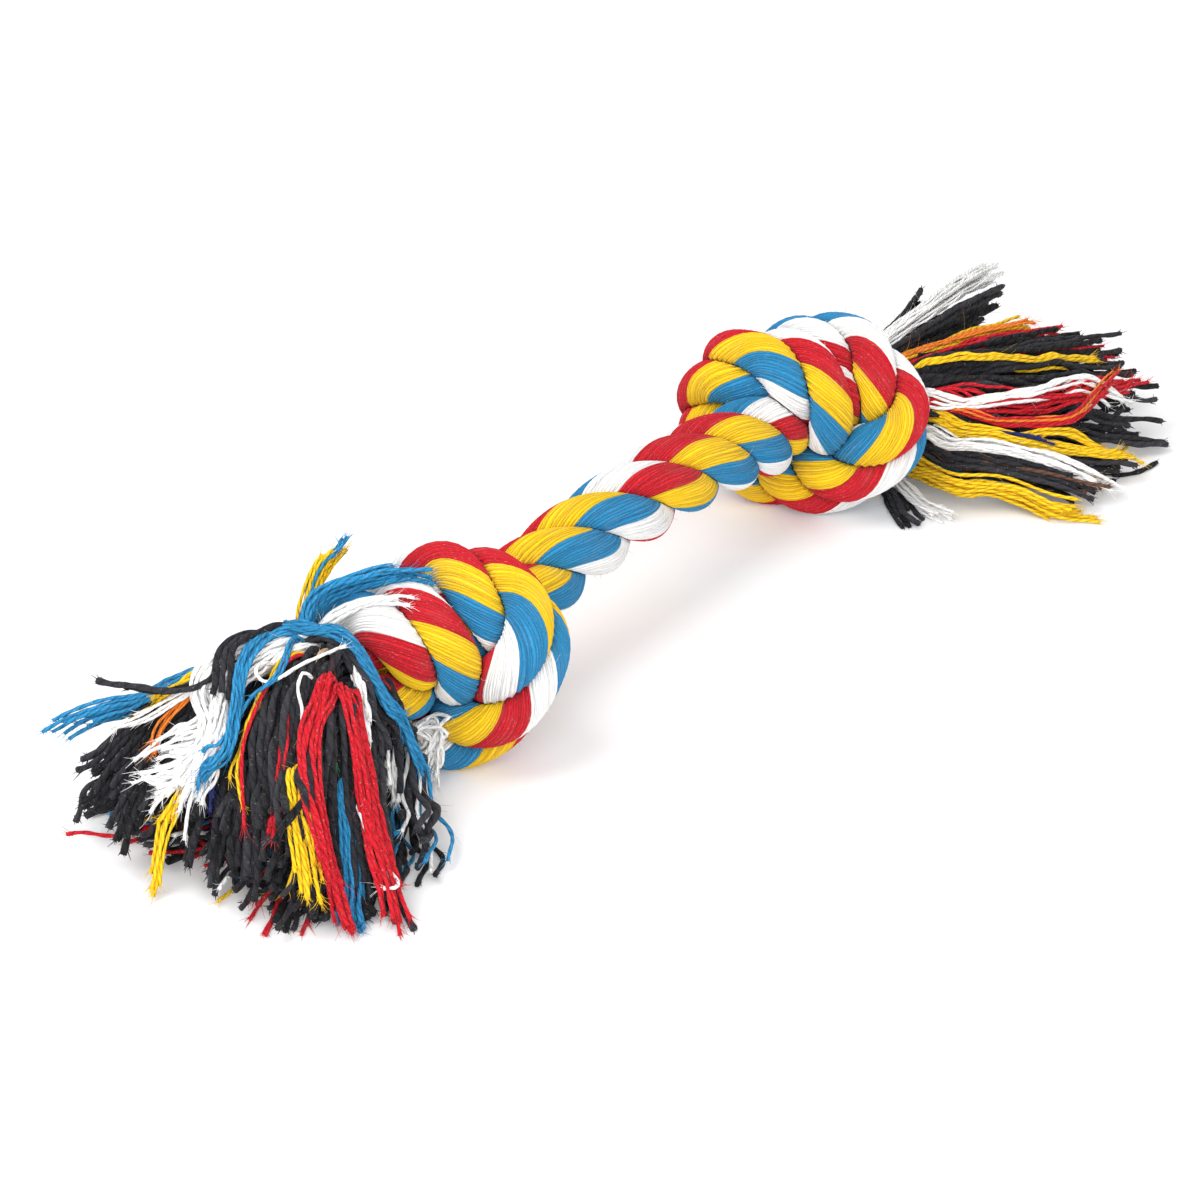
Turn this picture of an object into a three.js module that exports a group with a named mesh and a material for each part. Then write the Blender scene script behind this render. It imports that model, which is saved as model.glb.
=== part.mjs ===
import * as THREE from "three";

// A rope tug toy: three laid strands run unbroken through both overhand knots and open into a yarn
// tassel at each end. X is the long axis, Z is up, the origin is the middle of the bounding box at
// its underside. The near tassel is at -X, the far one at +X.

// Rope, in mm
const strand_d = 12.2;
const neck_strand_d = 11.4;
const knot_spacing = 145;
const neck_rise = 8;
const clearance = 0.5;
const seat_gap = 0.3;

// Tassels, in mm: yarn length, how far inside the knot the fan starts, how far its tips sink
const near_tassel_len = 67;
const far_tassel_len = 72;
const near_fan_depth = 11;
const far_fan_depth = 34;
const near_sink = 105;
const far_sink = 55;

// Turns of the rope and of its knots and tassels
const near_roll_deg = 90;
const far_roll_deg = 88;
const lay_turns = 13.6;
const lay_phase_deg = 0;
const near_tassel_yaw_deg = 15;
const far_tassel_yaw_deg = -30;
const near_lift_deg = 45;
const far_lift_deg = 8;

// One loose overhand knot in strand diameters: along the rope, across it, up from it
const knot_route_shares = [
  [-3.75, -2.0, 1.65], [-1.65, -0.35, 1.65], [-0.5, 1.5, 0.35], [0.15, 2.8, -1.15],
  [1.5, 4.3, -1.65], [3.65, 4.8, -1.15], [5.3, 3.5, -0.35], [5.5, 1.3, 0.65], [3.8, -0.2, 1.35],
  [1.5, -0.4, 1.65], [-0.5, -0.4, 0.35], [-1.85, -0.4, -1.15], [-3.8, -0.2, -1.65],
  [-5.5, 1.3, -1.15], [-5.3, 3.5, -0.35], [-3.65, 4.8, 0.65], [-1.5, 4.3, 1.35],
  [-0.15, 2.8, 1.65], [0.5, 1.5, 0.35], [1.65, -0.35, -1.15], [3.75, -2.0, -1.65],
];
const loose_spacing_share = 1.16;
const tail_shares = [5, 8];
const laid_reach_share = 0.58;

// How the rope closes up, in shares
const soft_share = 0.66;
const neck_soft_share = 0.76;
const neck_from_share = 0.06;
const neck_to_share = 0.14;
const outer_share = 1.4;
const knot_half_share = 2.4;
const near_pack_share = 0.72;
const far_pack_share = 0.62;
const end_share = 2.25;
const flat_share = 0.13;
const pair_share = 0.33;
const push_share = 0.8;
const tighten_share = 0.5;
const ease_share = 0.15;
const bend_share = 0.85;
const ring_step_share = 0.385;
const self_reach_share = 1.5;

// Tassel yarn groups of one strand: colour, thickness and seat in strand diameters
const strand_colours = [0xc81e28, 0xfacd1e, 0x2d87b9];
const yarn_groups = [
  { name: "core", colour: 0x3c3c41, thick_share: 0.4, seat_share: 0, turn: 0 },
  { name: "red", colour: 0xc81e28, thick_share: 0.28, seat_share: 0.34, turn: -0.22 },
  { name: "yellow", colour: 0xfacd1e, thick_share: 0.28, seat_share: 0.34, turn: -0.075 },
  { name: "blue", colour: 0x2d87b9, thick_share: 0.28, seat_share: 0.34, turn: 0.075 },
  { name: "white", colour: 0xf5f3f2, thick_share: 0.28, seat_share: 0.34, turn: 0.22 },
];
const swell_shares = [0.9, 1.2, 1.5, 1.8, 2, 2.15, 2.25, 2.3, 2.25, 2.1, 1.8];

// Counts
const strands = 3;
const nodes_along = 260;
const fixed_nodes = 3;
const tighten_steps = 4000;
const ease_steps = 80;
const pair_every = 10;
const self_skip = 7;
const strand_sides = 12;
const tassel_sides = 8;
const tassel_steps = 240;
const tassel_nodes = 21;
const seat_nodes = 2;
const seat_steps = 40;
const fine_per_ring = 4;
const trim_steps = 24;
const arc_steps = 8;

const vec = (v) => new THREE.Vector3(v[0], v[1], v[2]);

// The loose route of the whole rope
function knotPoint(share, roll, centre) {
  const c = Math.cos(roll);
  const s = Math.sin(roll);
  return vec([
    centre + share[0] * strand_d,
    (share[1] * c - share[2] * s) * strand_d,
    (share[1] * s + share[2] * c) * strand_d,
  ]);
}

function looseRoute() {
  const half = (loose_spacing_share * knot_spacing) / 2;
  const near = THREE.MathUtils.degToRad(near_roll_deg);
  const far = THREE.MathUtils.degToRad(far_roll_deg);
  const points = [vec([-half - tail_shares[1] * strand_d, 0, 0])];
  points.push(vec([-half - tail_shares[0] * strand_d, 0, 0]));
  for (const share of knot_route_shares) points.push(knotPoint(share, near, -half));
  points.push(vec([0, 0, 0]));
  for (const share of knot_route_shares) points.push(knotPoint(share, far, half));
  points.push(vec([half + tail_shares[0] * strand_d, 0, 0]));
  points.push(vec([half + tail_shares[1] * strand_d, 0, 0]));
  return new THREE.CatmullRomCurve3(points, false, "centripetal");
}

// Lines of nodes that push each other apart
function makeWeb(lines) {
  const count = lines.reduce((n, line) => n + line.points.length, 0);
  const web = {
    count,
    pos: new Float64Array(3 * count),
    half: new Float64Array(count),
    line: new Int32Array(count),
    fixed: new Uint8Array(count),
    starts: [],
  };
  let at = 0;
  lines.forEach((line, k) => {
    web.starts.push(at);
    line.points.forEach((p, i) => {
      p.toArray(web.pos, 3 * at);
      web.half[at] = line.half(i);
      web.line[at] = k;
      web.fixed[at] = line.fixed(i) ? 1 : 0;
      at += 1;
    });
  });
  web.starts.push(at);
  return web;
}

function smooth(web, share) {
  const old = web.pos.slice();
  for (let i = 0; i < web.count; i++) {
    if (web.fixed[i]) continue;
    if (web.line[i - 1] !== web.line[i] || web.line[i + 1] !== web.line[i]) continue;
    for (let c = 3 * i; c < 3 * i + 3; c++) {
      web.pos[c] += share * ((old[c - 3] + old[c + 3]) / 2 - old[c]);
    }
  }
}

function findPairs(web) {
  const pairs = [];
  const pos = web.pos;
  const spare = pair_share * strand_d;
  for (let i = 0; i < web.count; i++) {
    for (let j = i + 1; j < web.count; j++) {
      if (web.line[i] === web.line[j] && j - i < self_skip) continue;
      if (web.fixed[i] && web.fixed[j]) continue;
      const reach = web.half[i] + web.half[j] + spare;
      const dx = pos[3 * j] - pos[3 * i];
      if (Math.abs(dx) > reach) continue;
      const dy = pos[3 * j + 1] - pos[3 * i + 1];
      if (Math.abs(dy) > reach) continue;
      const dz = pos[3 * j + 2] - pos[3 * i + 2];
      if (dx * dx + dy * dy + dz * dz < reach * reach) pairs.push(i, j);
    }
  }
  return pairs;
}

function pushApart(web, pairs) {
  const pos = web.pos;
  const move = new Float64Array(3 * web.count);
  const hits = new Float64Array(web.count);
  for (let p = 0; p < pairs.length; p += 2) {
    const i = pairs[p];
    const j = pairs[p + 1];
    const dx = pos[3 * j] - pos[3 * i];
    const dy = pos[3 * j + 1] - pos[3 * i + 1];
    const dz = pos[3 * j + 2] - pos[3 * i + 2];
    const apart = Math.sqrt(dx * dx + dy * dy + dz * dz);
    const want = web.half[i] + web.half[j];
    if (apart >= want) continue;
    const m = (want - apart) / apart / 2;
    move[3 * i] -= dx * m;
    move[3 * i + 1] -= dy * m;
    move[3 * i + 2] -= dz * m;
    move[3 * j] += dx * m;
    move[3 * j + 1] += dy * m;
    move[3 * j + 2] += dz * m;
    hits[i] += 1;
    hits[j] += 1;
  }
  for (let i = 0; i < web.count; i++) {
    if (!hits[i] || web.fixed[i]) continue;
    const f = push_share / Math.sqrt(hits[i]);
    for (let c = 3 * i; c < 3 * i + 3; c++) pos[c] += move[c] * f;
  }
}

function relax(web, steps, share, pushes) {
  let pairs = [];
  for (let step = 0; step < steps; step++) {
    if (step % pair_every === 0) pairs = findPairs(web);
    smooth(web, share);
    for (let push = 0; push < pushes; push++) pushApart(web, pairs);
  }
}

// Three strands laid round the loose route
const inKnot = (i) => {
  const fromMiddle = Math.abs(i / (nodes_along - 1) - 0.5);
  return THREE.MathUtils.smoothstep(fromMiddle, neck_from_share, neck_to_share);
};
const contactHalf = (i) => {
  const neck = neck_soft_share * neck_strand_d;
  return (neck + (soft_share * strand_d - neck) * inKnot(i)) / 2;
};
const strandRadius = (i) => (neck_strand_d + (strand_d - neck_strand_d) * inKnot(i)) / 2;

function layStrands() {
  const route = looseRoute();
  const lines = Array.from({ length: strands }, () => ({
    points: [],
    half: contactHalf,
    fixed: (i) => i < fixed_nodes || i >= nodes_along - fixed_nodes,
  }));
  const normal = vec([0, 0, 1]);
  const turn = new THREE.Quaternion();
  let before = null;
  for (let i = 0; i < nodes_along; i++) {
    const u = i / (nodes_along - 1);
    const at = route.getPointAt(u);
    const along = route.getTangentAt(u);
    if (before) normal.applyQuaternion(turn.setFromUnitVectors(before, along));
    normal.addScaledVector(along, -normal.dot(along)).normalize();
    before = along;
    const across = along.clone().cross(normal);
    const reach = laid_reach_share * strand_d;
    lines.forEach((line, k) => {
      const a = THREE.MathUtils.degToRad(lay_phase_deg) + 2 * Math.PI * (k / strands + lay_turns * u);
      const p = at.clone().addScaledVector(normal, reach * Math.cos(a));
      line.points.push(p.addScaledVector(across, reach * Math.sin(a)));
    });
  }
  return makeWeb(lines);
}

// Each tight knot is pushed to its place and packed along the rope
function knotCentre(web, side) {
  let sum = 0;
  let found = 0;
  for (let i = 0; i < 3 * web.count; i += 3) {
    const out = Math.hypot(web.pos[i + 1], web.pos[i + 2]);
    if (web.pos[i] * side < 0 || out < outer_share * strand_d) continue;
    sum += Math.abs(web.pos[i]);
    found += 1;
  }
  return sum / found;
}

function gather(web) {
  const centre = [knotCentre(web, -1), knotCentre(web, 1)];
  const half = knot_half_share * strand_d;
  for (let i = 0; i < 3 * web.count; i += 3) {
    const side = web.pos[i] < 0 ? -1 : 1;
    const c = centre[side < 0 ? 0 : 1];
    const pack = side < 0 ? near_pack_share : far_pack_share;
    const x = Math.abs(web.pos[i]);
    let at = knot_spacing / 2 + pack * THREE.MathUtils.clamp(x - c, -half, half);
    if (x < c - half) at = ((knot_spacing / 2 - pack * half) * x) / (c - half);
    if (x > c + half) at += x - c - half;
    web.pos[i] = side * at;
  }
}

// The neck rises between the knots, and both knots come down on the floor
function arch(web) {
  for (let i = 0; i < 3 * web.count; i += 3) {
    const share = Math.min(1, Math.abs(web.pos[i]) / (knot_spacing / 2));
    web.pos[i + 2] += neck_rise * (1 - share * share);
  }
}

function lowest(web, side) {
  let low = Infinity;
  let at = 0;
  for (let i = 0; i < web.count; i++) {
    if (web.pos[3 * i] * side < 0 || Math.abs(web.pos[3 * i]) > knot_spacing) continue;
    const z = web.pos[3 * i + 2] - strandRadius(i % nodes_along);
    if (z >= low) continue;
    low = z;
    at = web.pos[3 * i];
  }
  return { low, at };
}

function standOnFloor(web) {
  for (let round = 0; round < 3; round++) {
    const near = lowest(web, -1);
    const far = lowest(web, 1);
    const slope = (far.low - near.low) / (far.at - near.at);
    for (let i = 0; i < 3 * web.count; i += 3) {
      web.pos[i + 2] -= near.low + slope * (web.pos[i] - near.at) + flat_share * strand_d;
    }
  }
}

// A smooth line through nodes, with a radius and a turn-free frame at each point
function fineLine(points, radii, step) {
  const curve = new THREE.CatmullRomCurve3(points, false, "centripetal");
  curve.arcLengthDivisions = arc_steps * points.length;
  const length = curve.getLength();
  const count = Math.max(fine_per_ring, fine_per_ring * Math.round(length / step / fine_per_ring)) + 1;
  const line = { points: [], radii: [], tangents: [], normals: [], bend: [], length };
  const normal = vec([0, 0, 1]);
  const turn = new THREE.Quaternion();
  for (let i = 0; i < count; i++) {
    const u = i / (count - 1);
    const t = curve.getUtoTmapping(u) * (points.length - 1);
    const j = Math.min(points.length - 2, Math.floor(t));
    const along = curve.getTangentAt(u);
    if (i) normal.applyQuaternion(turn.setFromUnitVectors(line.tangents[i - 1], along));
    normal.addScaledVector(along, -normal.dot(along)).normalize();
    line.points.push(curve.getPointAt(u));
    line.radii.push(radii[j] + (radii[j + 1] - radii[j]) * (t - j));
    line.tangents.push(along);
    line.normals.push(normal.clone());
  }
  for (let i = 0; i < count; i++) {
    const a = Math.max(0, i - fine_per_ring);
    const b = Math.min(count - 1, i + fine_per_ring);
    const run = ((b - a) * length) / (count - 1);
    line.bend.push(line.tangents[b].clone().sub(line.tangents[a]).divideScalar(run));
  }
  return line;
}

// A yarn group keeps its seat's gap in front of its strand's cut end
function seatOn(foot, v) {
  const above = v.clone().sub(foot.root).dot(foot.along);
  return v.addScaledVector(foot.along, Math.max(0, seat_gap - above));
}

// Whether point n of a strand is in the stretch that carries the yarn group
function isFootOf(group, strand, n) {
  if (group.foot?.line !== strand) return false;
  const along = (Math.abs(n - group.foot.node) * strand.length) / (strand.points.length - 1);
  return along < self_reach_share * strand_d;
}

// A tube whose sections give way to the lines beside it, halfway between, less the clearance.
// It is cut flat where it would reach below the floor.
function tube(line, others, sides) {
  const rings = [];
  const v = new THREE.Vector3();
  const across = new THREE.Vector3();
  const out = new THREE.Vector3();
  const count = line.points.length;
  const ringStep = (fine_per_ring * line.length) / (count - 1);
  for (let i = 0; i < count; i += fine_per_ring) {
    const p = line.points[i];
    const radius = line.radii[i];
    const near = [];
    for (const other of others) {
      other.points.forEach((q, j) => {
        const along = (Math.abs(j - i) * line.length) / (count - 1);
        if (other === line && along < self_reach_share * 2 * radius + ringStep) return;
        if (isFootOf(line, other, j) || isFootOf(other, line, i)) return;
        if (p.distanceTo(q) < 2 * radius + clearance) near.push(q);
      });
    }
    across.crossVectors(line.tangents[i], line.normals[i]);
    const ring = [];
    for (let k = 0; k < sides; k++) {
      const a = (2 * Math.PI * k) / sides;
      out.copy(line.normals[i]).multiplyScalar(Math.cos(a)).addScaledVector(across, Math.sin(a));
      const bent = out.dot(line.bend[i]);
      const most = bent > 0 ? Math.min(radius, bend_share / bent) : radius;
      let lo = 0;
      let hi = most;
      for (let step = 0; step < trim_steps; step++) {
        const mid = step === 0 ? most : (lo + hi) / 2;
        v.copy(p).addScaledVector(out, mid);
        const room = mid + clearance;
        const free = near.every((q) => v.distanceToSquared(q) > room * room);
        if (free) lo = mid;
        else hi = mid;
        if (free && step === 0) break;
      }
      v.copy(p).addScaledVector(out, Math.max(lo, clearance));
      if (line.foot && p.distanceTo(line.foot.root) < strand_d) seatOn(line.foot, v);
      v.z = Math.max(v.z, 0);
      ring.push(v.clone());
    }
    rings.push({ centre: p.clone(), ring });
  }
  return rings;
}

function closedMesh(name, rings, colour) {
  const sides = rings[0].ring.length;
  const position = [];
  for (const { ring } of rings) for (const p of ring) position.push(p.x, p.y, p.z);
  const first = rings[0].centre;
  const last = rings[rings.length - 1].centre;
  position.push(first.x, first.y, first.z, last.x, last.y, last.z);
  const index = [];
  const end = rings.length * sides;
  for (let k = 0; k < sides; k++) {
    const n = (k + 1) % sides;
    for (let r = 0; r + 1 < rings.length; r++) {
      const a = r * sides;
      const b = a + sides;
      index.push(a + k, a + n, b + n, a + k, b + n, b + k);
    }
    index.push(end, n, k);
    index.push(end + 1, end - sides + k, end - sides + n);
  }
  const geometry = new THREE.BufferGeometry();
  geometry.setAttribute("position", new THREE.Float32BufferAttribute(position, 3));
  geometry.setIndex(index);
  geometry.computeVertexNormals();
  const material = new THREE.MeshStandardMaterial({ color: colour, roughness: 0.92, metalness: 0 });
  const mesh = new THREE.Mesh(geometry, material);
  mesh.name = name;
  return mesh;
}

// How thick a yarn group is along its length
function swell(group, n) {
  const at = (n / (tassel_nodes - 1)) * (swell_shares.length - 1);
  const k = Math.min(swell_shares.length - 2, Math.floor(at));
  const share = swell_shares[k] + (swell_shares[k + 1] - swell_shares[k]) * (at - k);
  return group.thick_share * share * strand_d;
}

// Each strand end opens into its yarn groups, seated side by side
function tasselSeats(ends, focus) {
  const seats = [];
  ends.forEach((foot, strand) => {
    const { root, along } = foot;
    const out = root.clone().sub(focus).setX(0).normalize();
    const across = along.clone().cross(out).normalize();
    for (const group of yarn_groups) {
      const a = 2 * Math.PI * group.turn;
      const seat = root.clone().addScaledVector(along, seat_gap);
      seat.addScaledVector(across.clone().cross(along), group.seat_share * strand_d * Math.cos(a));
      seat.addScaledVector(across, group.seat_share * strand_d * Math.sin(a));
      const half = swell(group, 0) / 2 + 2 * clearance;
      seats.push({ group, strand, foot, points: [seat], half: () => half, fixed: () => false });
    }
  });
  const side = makeWeb(seats);
  const pairs = findPairs(side);
  for (let step = 0; step < seat_steps; step++) {
    pushApart(side, pairs);
    seats.forEach(({ foot, points }, k) => {
      seatOn(foot, points[0].fromArray(side.pos, 3 * k)).toArray(side.pos, 3 * k);
    });
  }
  return seats;
}

// The yarn groups of one end start as a straight fan from a point inside the knot
function tasselLines(strandLines, side, reach) {
  const yaw = THREE.MathUtils.degToRad(side < 0 ? near_tassel_yaw_deg : far_tassel_yaw_deg);
  const depth = side < 0 ? near_fan_depth : -far_fan_depth;
  const focus = vec([Math.cos(yaw), Math.sin(yaw), 0]).multiplyScalar(depth);
  const lift = Math.tan(THREE.MathUtils.degToRad(side < 0 ? near_lift_deg : far_lift_deg));
  const ends = strandLines.map((line) => {
    const i = side < 0 ? 0 : line.points.length - 1;
    focus.addScaledVector(line.points[i], 1 / strands);
    const along = line.tangents[i].clone().multiplyScalar(side);
    return { line, node: i, root: line.points[i], along };
  });
  return tasselSeats(ends, focus).map(({ group, strand, foot, points }) => {
    const away = points[0].clone().sub(focus).normalize().add(vec([0, 0, lift])).normalize();
    const nodes = Array.from({ length: tassel_nodes }, (_, n) =>
      points[0].clone().addScaledVector(away, (n * reach) / (tassel_nodes - 1)),
    );
    const half = (n) => swell(group, n) / 2 + clearance;
    return { group, strand, foot, points: nodes, half, fixed: (n) => n < seat_nodes };
  });
}

// The fan sinks to the floor, its yarn groups pushing each other apart
function settleTassel(lines, strandLines, sink, reach) {
  const held = strandLines.map((line) => ({
    points: line.points,
    half: (i) => line.radii[i] * soft_share,
    fixed: () => true,
  }));
  const web = makeWeb([...held, ...lines]);
  const piece = reach / (tassel_nodes - 1);
  const from = new THREE.Vector3();
  const to = new THREE.Vector3();
  for (let step = 0; step < tassel_steps; step++) {
    const pairs = findPairs(web);
    smooth(web, ease_share);
    for (let push = 0; push < 3; push++) pushApart(web, pairs);
    lines.forEach((line, k) => {
      const start = web.starts[held.length + k];
      for (let n = 1; n < tassel_nodes; n++) {
        const i = start + n;
        const out = n / (tassel_nodes - 1);
        const fall = (sink * out * out) / tassel_steps;
        web.pos[3 * i + 2] = Math.max(web.pos[3 * i + 2] - fall, line.half(n));
        from.fromArray(web.pos, 3 * (i - 1));
        to.fromArray(web.pos, 3 * i).sub(from).setLength(piece).add(from);
        to.toArray(web.pos, 3 * i);
      }
    });
  }
  lines.forEach((line, k) => {
    const start = web.starts[held.length + k];
    line.points = line.points.map((_, n) => vec(web.pos.slice(3 * (start + n), 3 * (start + n) + 3)));
  });
}

// The rope
const web = layStrands();
relax(web, tighten_steps, tighten_share, 2);
gather(web);
relax(web, ease_steps, ease_share, 4);
arch(web);
standOnFloor(web);
const end_x = knot_spacing / 2 + end_share * strand_d;
const strandLines = Array.from({ length: strands }, (_, k) => {
  let first = k * nodes_along;
  let last = first + nodes_along - 1;
  while (web.pos[3 * first] < -end_x) first += 1;
  while (web.pos[3 * last] > end_x) last -= 1;
  const points = [];
  const radii = [];
  for (let i = first; i <= last; i++) {
    points.push(vec(web.pos.slice(3 * i, 3 * i + 3)));
    radii.push(strandRadius(i % nodes_along));
  }
  return fineLine(points, radii, (ring_step_share * strand_d) / fine_per_ring);
});

// The tassels
const tassels = [];
for (const end of ["near", "far"]) {
  const side = end === "near" ? -1 : 1;
  const reach = end === "near" ? near_tassel_len : far_tassel_len;
  const fan = tasselLines(strandLines, side, reach);
  settleTassel(fan, strandLines, end === "near" ? near_sink : far_sink, reach);
  for (const { points, group, strand, foot } of fan) {
    const radii = points.map((_, n) => swell(group, n) / 2);
    const step = reach / (swell_shares.length - 1) / fine_per_ring;
    const name = `tassel_${end}_${strand + 1}_${group.name}`;
    const line = { ...fineLine(points, radii, step), foot };
    tassels.push({ end, name, line, colour: group.colour });
  }
}

// The meshes
const toy = new THREE.Group();
const rope = new THREE.Group();
const tasselGroups = { near: new THREE.Group(), far: new THREE.Group() };
toy.add(rope, tasselGroups.near, tasselGroups.far);
const allLines = [...strandLines, ...tassels.map((tassel) => tassel.line)];
strandLines.forEach((line, k) => {
  rope.add(closedMesh(`strand_${k + 1}`, tube(line, allLines, strand_sides), strand_colours[k]));
});
for (const { end, name, line, colour } of tassels) {
  tasselGroups[end].add(closedMesh(name, tube(line, allLines, tassel_sides), colour));
}

// The origin goes under the middle of the toy
const box = new THREE.Box3().setFromObject(toy);
toy.position.copy(box.getCenter(new THREE.Vector3())).negate().setZ(-box.min.z);
const lengths = strandLines.map((line) => line.length.toFixed(0)).join(", ");
console.log(`strand lengths ${lengths} mm`);

export default toy;
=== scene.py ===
import math

import bpy
import numpy as np
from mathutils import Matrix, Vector


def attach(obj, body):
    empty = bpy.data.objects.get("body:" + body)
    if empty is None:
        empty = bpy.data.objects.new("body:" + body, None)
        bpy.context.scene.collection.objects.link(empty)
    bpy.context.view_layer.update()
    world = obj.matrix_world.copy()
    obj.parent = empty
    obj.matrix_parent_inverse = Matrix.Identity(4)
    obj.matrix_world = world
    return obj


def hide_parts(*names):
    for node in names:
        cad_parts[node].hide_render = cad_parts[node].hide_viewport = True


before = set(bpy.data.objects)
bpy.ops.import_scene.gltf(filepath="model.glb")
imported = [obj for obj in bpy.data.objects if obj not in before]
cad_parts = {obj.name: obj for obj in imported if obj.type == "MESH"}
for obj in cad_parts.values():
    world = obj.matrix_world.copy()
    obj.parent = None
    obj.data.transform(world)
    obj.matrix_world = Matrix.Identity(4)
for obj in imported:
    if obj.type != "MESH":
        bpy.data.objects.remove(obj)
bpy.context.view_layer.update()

chance = np.random.default_rng(7)

# Sizes in metres
MM = 0.001
STRAND_D = 12.2 * MM
COVER_STEP = 1.5 * MM
RIDGE_HEIGHT = 0.19 * MM
CONTACT_GAP = 0.1 * MM
NODE_STEP = 2.0 * MM
YARN_STEP = 0.9 * MM
CHARCOAL_R = 0.76 * MM
COLOUR_R = 0.46 * MM
THREAD_R = 0.34 * MM
FIBRE_R = 0.07 * MM
FUZZ_R = 0.04 * MM

# Corners of a solid that lie in one cell of this size, in mm, are one
CORNER_GRID_MM = 0.01

# The cover of a strand: four bands of twelve yarns, each yarn four corners wide
BANDS = 4
BAND_YARNS = 12
YARN_CORNERS = 4
COVER_YARNS = BANDS * BAND_YARNS
COVER_CORNERS = COVER_YARNS * YARN_CORNERS

# How the bands wind: turns for each strand diameter, in the knots and in the laid neck
KNOT_TWIST_TURNS = 0.30
NECK_TWIST_TURNS = 0.17
NECK_HALF = 48 * MM

# Cotton colours, linear
RED = (0.60, 0.012, 0.024)
YELLOW = (0.96, 0.60, 0.012)
BLUE = (0.026, 0.25, 0.50)
WHITE = (0.94, 0.935, 0.925)
CHARCOAL = (0.026, 0.026, 0.031)
ORANGE = (0.85, 0.22, 0.02)
BEIGE = (0.52, 0.36, 0.22)
BROWN = (0.15, 0.07, 0.045)
NAVY = (0.020, 0.034, 0.15)
GREEN = (0.03, 0.16, 0.07)


# Lines read from the frame's solids
def node_rings(name):
    """The rings of corners of a tube-like node, in order from its -X end, each ring's corners in order."""
    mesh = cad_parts[name].data
    places = np.empty(len(mesh.vertices) * 3, np.float32)
    mesh.vertices.foreach_get("co", places)
    corners = np.empty(len(mesh.loops), np.int32)
    mesh.loops.foreach_get("vertex_index", corners)
    grid = np.round(places.reshape(-1, 3) / (CORNER_GRID_MM * MM)).astype(int)
    points, merged = np.unique(grid, axis=0, return_inverse=True)
    points = points * CORNER_GRID_MM * MM
    beside = [set() for _ in points]
    for a, b, c in merged.ravel()[corners].reshape(-1, 3):
        beside[a] |= {b, c}
        beside[b] |= {a, c}
        beside[c] |= {a, b}
    caps = sorted(range(len(points)), key=lambda i: -len(beside[i]))[:2]
    level = {min(caps, key=lambda i: points[i][0])}
    seen = set(level)
    rings = []
    while True:
        level = {b for a in level for b in beside[a]} - seen
        if len(level) < 3:
            return rings
        seen |= level
        rings.append(in_order(points[sorted(level)]))


def in_order(ring):
    """The corners of one ring, sorted round its middle."""
    off = ring - ring.mean(axis=0)
    _, _, axes = np.linalg.svd(off)
    turn = np.arctan2(off @ axes[1], off @ axes[0])
    return ring[np.argsort(turn)]


def ring_centre(ring):
    """Where the lines through opposite corners meet."""
    half = len(ring) // 2
    a, b = ring[:half], ring[half:]
    d = (b - a) / np.linalg.norm(b - a, axis=1)[:, None]
    off = np.eye(3) - d[:, :, None] * d[:, None, :]
    return np.linalg.solve(off.sum(axis=0), (off @ a[:, :, None]).sum(axis=0))[:, 0]


def along_line(points):
    """The distance of each point from the first, along the line."""
    return np.r_[0, np.cumsum(np.linalg.norm(np.diff(points, axis=0), axis=1))]


def resample(points, step):
    """A smooth line that follows the points, in even steps."""
    ends = np.vstack([2 * points[0] - points[1], points, 2 * points[-1] - points[-2]])
    count = max(2, math.ceil(np.linalg.norm(np.diff(points, axis=0), axis=1).max() / step * 2))
    u = (np.arange(count) / count)[None, :, None]
    p0, p1, p2, p3 = (ends[k : len(ends) - 3 + k][:, None] for k in range(4))
    bends = 2 * p0 - 5 * p1 + 4 * p2 - p3
    fine = 0.5 * (2 * p1 + (p2 - p0) * u + bends * u**2 + (3 * p1 - p0 - 3 * p2 + p3) * u**3)
    fine = np.vstack([fine.reshape(-1, 3), points[-1:]])
    for _ in range(count):
        fine[1:-1] = fine[1:-1] / 2 + (fine[:-2] + fine[2:]) / 4
    run = along_line(fine)
    even = np.linspace(0, run[-1], max(4, round(run[-1] / step)) + 1)
    return np.stack([np.interp(even, run, fine[:, c]) for c in range(3)], axis=1)


# A line that rises more than this counts as upright
UPRIGHT = 0.9


def frames(points):
    """The tangent and two cross directions of a line at each point, without twist."""
    t = np.gradient(points, axis=0)
    t /= np.linalg.norm(t, axis=1)[:, None]
    first = np.array([0, 0, 1.0]) if abs(t[0][2]) < UPRIGHT else np.array([0, 1.0, 0])
    n = np.empty_like(t)
    n[0] = first - t[0] * (first @ t[0])
    n[0] /= np.linalg.norm(n[0])
    for i in range(1, len(t)):
        n[i] = n[i - 1] - t[i] * (n[i - 1] @ t[i])
        n[i] /= np.linalg.norm(n[i])
    return t, n, np.cross(t, n)


def ways_out(n, b, turn):
    """The ways out from a line at its turns, from its two cross directions."""
    return n[:, None] * np.cos(turn)[..., None] + b[:, None] * np.sin(turn)[..., None]


def add_object(name, data):
    """A new object in the scene."""
    made = bpy.data.objects.new(name, data)
    bpy.context.scene.collection.objects.link(made)
    return made


# The camera
CAMERA_TURN_DEG = 216.6
CAMERA_RISE_DEG = 28.3
CAMERA_DISTANCE = 0.86
CAMERA_STAND = np.array([-7.2, 13.8, 27.0]) * MM
LOOK_AT = np.array([-7.2, 13.8, 5.0]) * MM
CAMERA_VIEW_DEG = 19.4


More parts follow.
